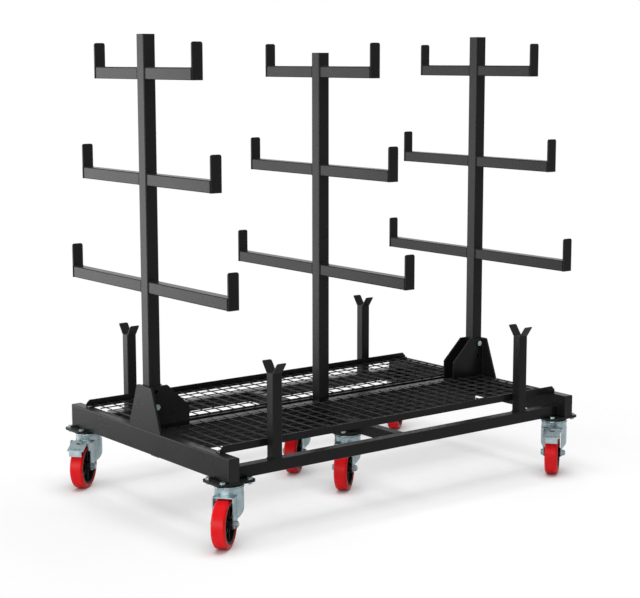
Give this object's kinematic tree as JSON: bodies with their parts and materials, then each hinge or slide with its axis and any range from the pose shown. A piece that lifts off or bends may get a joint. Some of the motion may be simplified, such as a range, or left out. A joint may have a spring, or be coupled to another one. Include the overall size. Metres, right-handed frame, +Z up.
{
  "type": "pipe cart",
  "caption": "Steel pipe cart on swivel castors: masts with cross arms for long pipes, vee rests on stub posts and a wire mesh deck over a box-section base.",
  "frame": {"origin": "on the floor, under the middle of the cart's bounding box with the castors as stored", "axes": "+X along the cart, towards the end mast on the right; +Y across it, away from the front rail; +Z up"},
  "size_m": [1.6686, 1.068, 1.607],
  "materials": {
    "black_paint": "satin black powder coat",
    "zinc_plate": "bright zinc plating",
    "red_tyre": "red polyurethane, smooth",
    "wheel_core": "dark moulded core"
  },
  "bodies": {
    "cart_frame": {"end_beam_left": "black_paint", "end_beam_right": "black_paint", "front_rail": "black_paint", "rear_rail": "black_paint", "centre_beam": "black_paint", "cross_beams": "black_paint", "tube_caps": "black_paint", "mast_left": "black_paint", "mast_middle": "black_paint", "mast_right": "black_paint", "left_arms": "black_paint", "middle_arms": "black_paint", "right_arms": "black_paint", "left_upstands": "black_paint", "middle_upstands": "black_paint", "right_upstands": "black_paint", "socket_end_plates": "black_paint", "socket_side_plates": "black_paint", "socket_fasteners": "zinc_plate", "stub_posts": "black_paint", "vee_prongs": "black_paint", "deck_edge_angles": "black_paint", "deck_inner_angles": "black_paint", "deck_mesh_front": "black_paint", "deck_mesh_rear": "black_paint", "deck_screws": "black_paint", "castor_mount_plates": "black_paint", "castor_top_plates": "black_paint", "castor_fasteners": "zinc_plate", "castor_kingpins": "zinc_plate"},
    "swivel_front_left": {"fork_front_left": "zinc_plate", "axle_front_left": "zinc_plate"},
    "wheel_front_left": {"tyre_front_left": "red_tyre", "core_front_left": "wheel_core"},
    "swivel_front_right": {"fork_front_right": "zinc_plate", "axle_front_right": "zinc_plate", "brake_pin_front_right": "zinc_plate"},
    "wheel_front_right": {"tyre_front_right": "red_tyre", "core_front_right": "wheel_core"},
    "brake_front_right": {"brake_pedal_front_right": "zinc_plate"},
    "swivel_back_left": {"fork_back_left": "zinc_plate", "axle_back_left": "zinc_plate", "brake_pin_back_left": "zinc_plate"},
    "wheel_back_left": {"tyre_back_left": "red_tyre", "core_back_left": "wheel_core"},
    "brake_back_left": {"brake_pedal_back_left": "zinc_plate"},
    "swivel_back_right": {"fork_back_right": "zinc_plate", "axle_back_right": "zinc_plate"},
    "wheel_back_right": {"tyre_back_right": "red_tyre", "core_back_right": "wheel_core"},
    "swivel_middle_front": {"fork_middle_front": "zinc_plate", "axle_middle_front": "zinc_plate"},
    "wheel_middle_front": {"tyre_middle_front": "red_tyre", "core_middle_front": "wheel_core"},
    "swivel_middle_back": {"fork_middle_back": "zinc_plate", "axle_middle_back": "zinc_plate"},
    "wheel_middle_back": {"tyre_middle_back": "red_tyre", "core_middle_back": "wheel_core"}
  },
  "joints": [
    {"name": "swivel_front_left_turn", "type": "hinge", "parent": "cart_frame", "child": "swivel_front_left", "pos_m": [-0.70774, -0.42101, 0.164], "axis": [0, 0, 1], "continuous": true},
    {"name": "wheel_front_left_roll", "type": "hinge", "parent": "swivel_front_left", "child": "wheel_front_left", "pos_m": [-0.75523, -0.46087, 0.08], "axis": [0.6428, -0.766, 0], "continuous": true},
    {"name": "swivel_front_right_turn", "type": "hinge", "parent": "cart_frame", "child": "swivel_front_right", "pos_m": [0.76426, -0.42101, 0.164], "axis": [0, 0, 1], "continuous": true},
    {"name": "wheel_front_right_roll", "type": "hinge", "parent": "swivel_front_right", "child": "wheel_front_right", "pos_m": [0.71677, -0.46087, 0.08], "axis": [0.6428, -0.766, 0], "continuous": true},
    {"name": "brake_front_right_press", "type": "hinge", "parent": "swivel_front_right", "child": "brake_front_right", "pos_m": [0.69685, -0.47758, 0.17], "axis": [0.6428, -0.766, 0], "range_deg": [0, 8]},
    {"name": "swivel_back_left_turn", "type": "hinge", "parent": "cart_frame", "child": "swivel_back_left", "pos_m": [-0.70774, 0.47899, 0.164], "axis": [0, 0, 1], "continuous": true},
    {"name": "wheel_back_left_roll", "type": "hinge", "parent": "swivel_back_left", "child": "wheel_back_left", "pos_m": [-0.75523, 0.43913, 0.08], "axis": [0.6428, -0.766, 0], "continuous": true},
    {"name": "brake_back_left_press", "type": "hinge", "parent": "swivel_back_left", "child": "brake_back_left", "pos_m": [-0.77515, 0.42242, 0.17], "axis": [0.6428, -0.766, 0], "range_deg": [0, 8]},
    {"name": "swivel_back_right_turn", "type": "hinge", "parent": "cart_frame", "child": "swivel_back_right", "pos_m": [0.76426, 0.47899, 0.164], "axis": [0, 0, 1], "continuous": true},
    {"name": "wheel_back_right_roll", "type": "hinge", "parent": "swivel_back_right", "child": "wheel_back_right", "pos_m": [0.71677, 0.43913, 0.08], "axis": [0.6428, -0.766, 0], "continuous": true},
    {"name": "swivel_middle_front_turn", "type": "hinge", "parent": "cart_frame", "child": "swivel_middle_front", "pos_m": [0.01527, -0.12001, 0.164], "axis": [0, 0, 1], "continuous": true},
    {"name": "wheel_middle_front_roll", "type": "hinge", "parent": "swivel_middle_front", "child": "wheel_middle_front", "pos_m": [-0.03223, -0.15987, 0.08], "axis": [0.6428, -0.766, 0], "continuous": true},
    {"name": "swivel_middle_back_turn", "type": "hinge", "parent": "cart_frame", "child": "swivel_middle_back", "pos_m": [0.01527, 0.17799, 0.164], "axis": [0, 0, 1], "continuous": true},
    {"name": "wheel_middle_back_roll", "type": "hinge", "parent": "swivel_middle_back", "child": "wheel_middle_back", "pos_m": [-0.03223, 0.13813, 0.08], "axis": [0.6428, -0.766, 0], "continuous": true}
  ]
}
